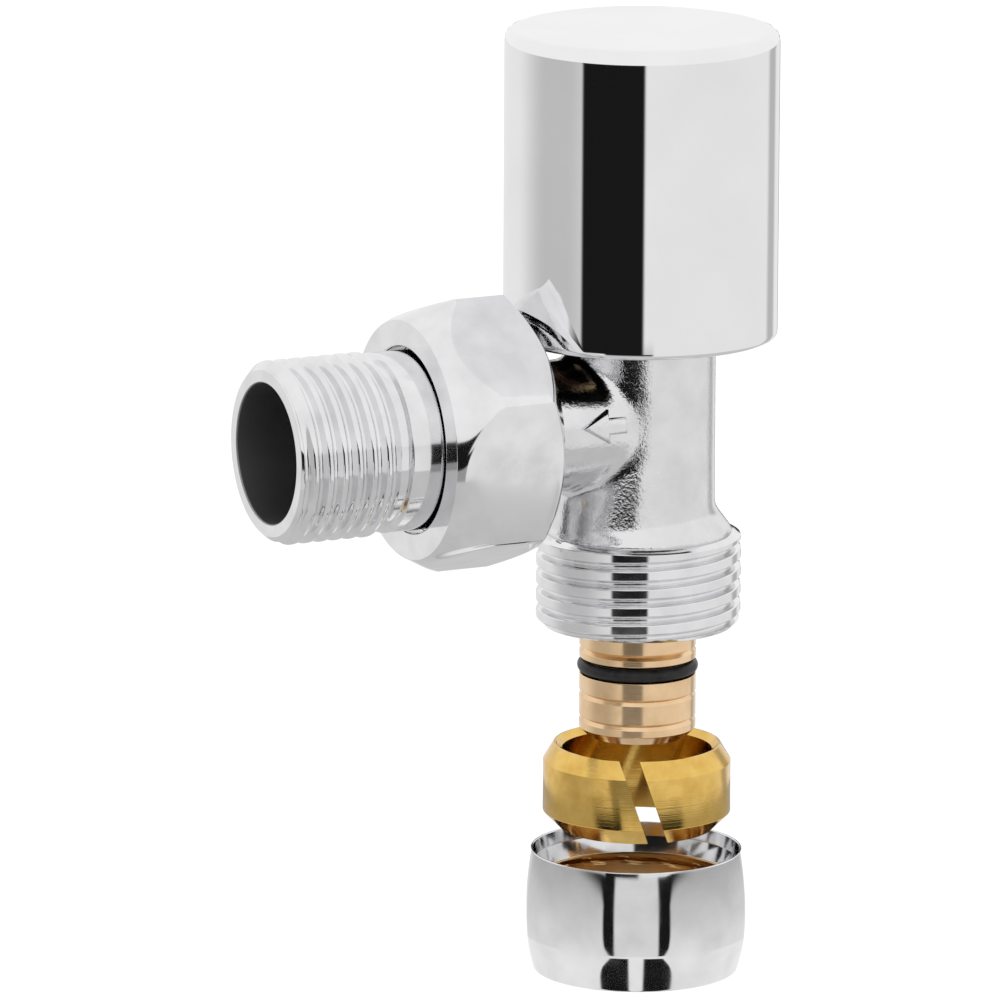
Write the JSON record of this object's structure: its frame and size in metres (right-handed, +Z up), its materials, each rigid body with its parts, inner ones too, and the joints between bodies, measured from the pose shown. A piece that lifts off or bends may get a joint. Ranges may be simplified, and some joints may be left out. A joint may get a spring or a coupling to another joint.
{
  "type": "angle radiator valve",
  "caption": "Angle radiator valve with a round polished handle, a union nut and threaded tail at the side, and a compression pipe connection shown apart below.",
  "frame": {"origin": "on the tail's axis at the inner end of its thread, where the radiator's face comes when the tail is screwed home", "axes": "-X along the tail into the radiator, +Z up along the spindle, pipe from below"},
  "size_m": [0.0626, 0.0312, 0.11],
  "materials": {
    "cast_chrome": "plated over a sand cast surface",
    "turned_chrome": "plated over a turned surface",
    "polished_chrome": "mirror polished",
    "brass": "turned",
    "pale_brass": "satin turned",
    "yellow_brass": "brushed",
    "black_rubber": "smooth",
    "fibre": "matt",
    "white_plastic": "moulded",
    "black_plastic": "moulded",
    "steel": "plain"
  },
  "bodies": {
    "valve": {"valve_body": "cast_chrome", "tail_piece": "turned_chrome", "tail_seal": "black_rubber", "headwork": "brass", "headwork_seal": "fibre", "packing_washer": "white_plastic", "packing_ring": "black_rubber", "gland_nut": "brass", "insert_nipple": "pale_brass", "nipple_shank_seal": "black_rubber", "nipple_head_seal": "black_rubber"},
    "plug": {"plug": "brass", "seat_washer": "black_rubber", "washer_screw": "steel", "plug_clip": "steel"},
    "handle": {"handle_shell": "polished_chrome", "handle_hub": "black_plastic", "hub_screw": "steel", "spindle": "brass"},
    "union_nut": {"union_nut": "turned_chrome"},
    "split_ring": {"split_ring": "yellow_brass"},
    "compression_nut": {"compression_nut": "turned_chrome"}
  },
  "joints": [
    {"name": "plug_lift", "type": "slide", "parent": "valve", "child": "plug", "axis": [0, 0, 1], "range_m": [0, 0.00375]},
    {"name": "handle_turn", "type": "hinge", "parent": "plug", "child": "handle", "pos_m": [0.0347, 0, 0], "axis": [0, 0, 1], "range_deg": [0, 900]},
    {"name": "union_nut_turn", "type": "hinge", "parent": "valve", "child": "union_nut", "pos_m": [0.012, 0, 0], "axis": [1, 0, 0], "continuous": true},
    {"name": "nut_travel", "type": "slide", "parent": "valve", "child": "compression_nut", "axis": [0, 0, 1], "range_m": [0, 0.02905]},
    {"name": "ring_travel", "type": "slide", "parent": "valve", "child": "split_ring", "axis": [0, 0, 1], "range_m": [0, 0.0154]}
  ],
  "couplings": [
    {"joint": "handle_turn", "follows": "plug_lift", "rad_per_m": 4188.8},
    {"joint": "ring_travel", "follows": "nut_travel", "ratio": 0.5301}
  ]
}
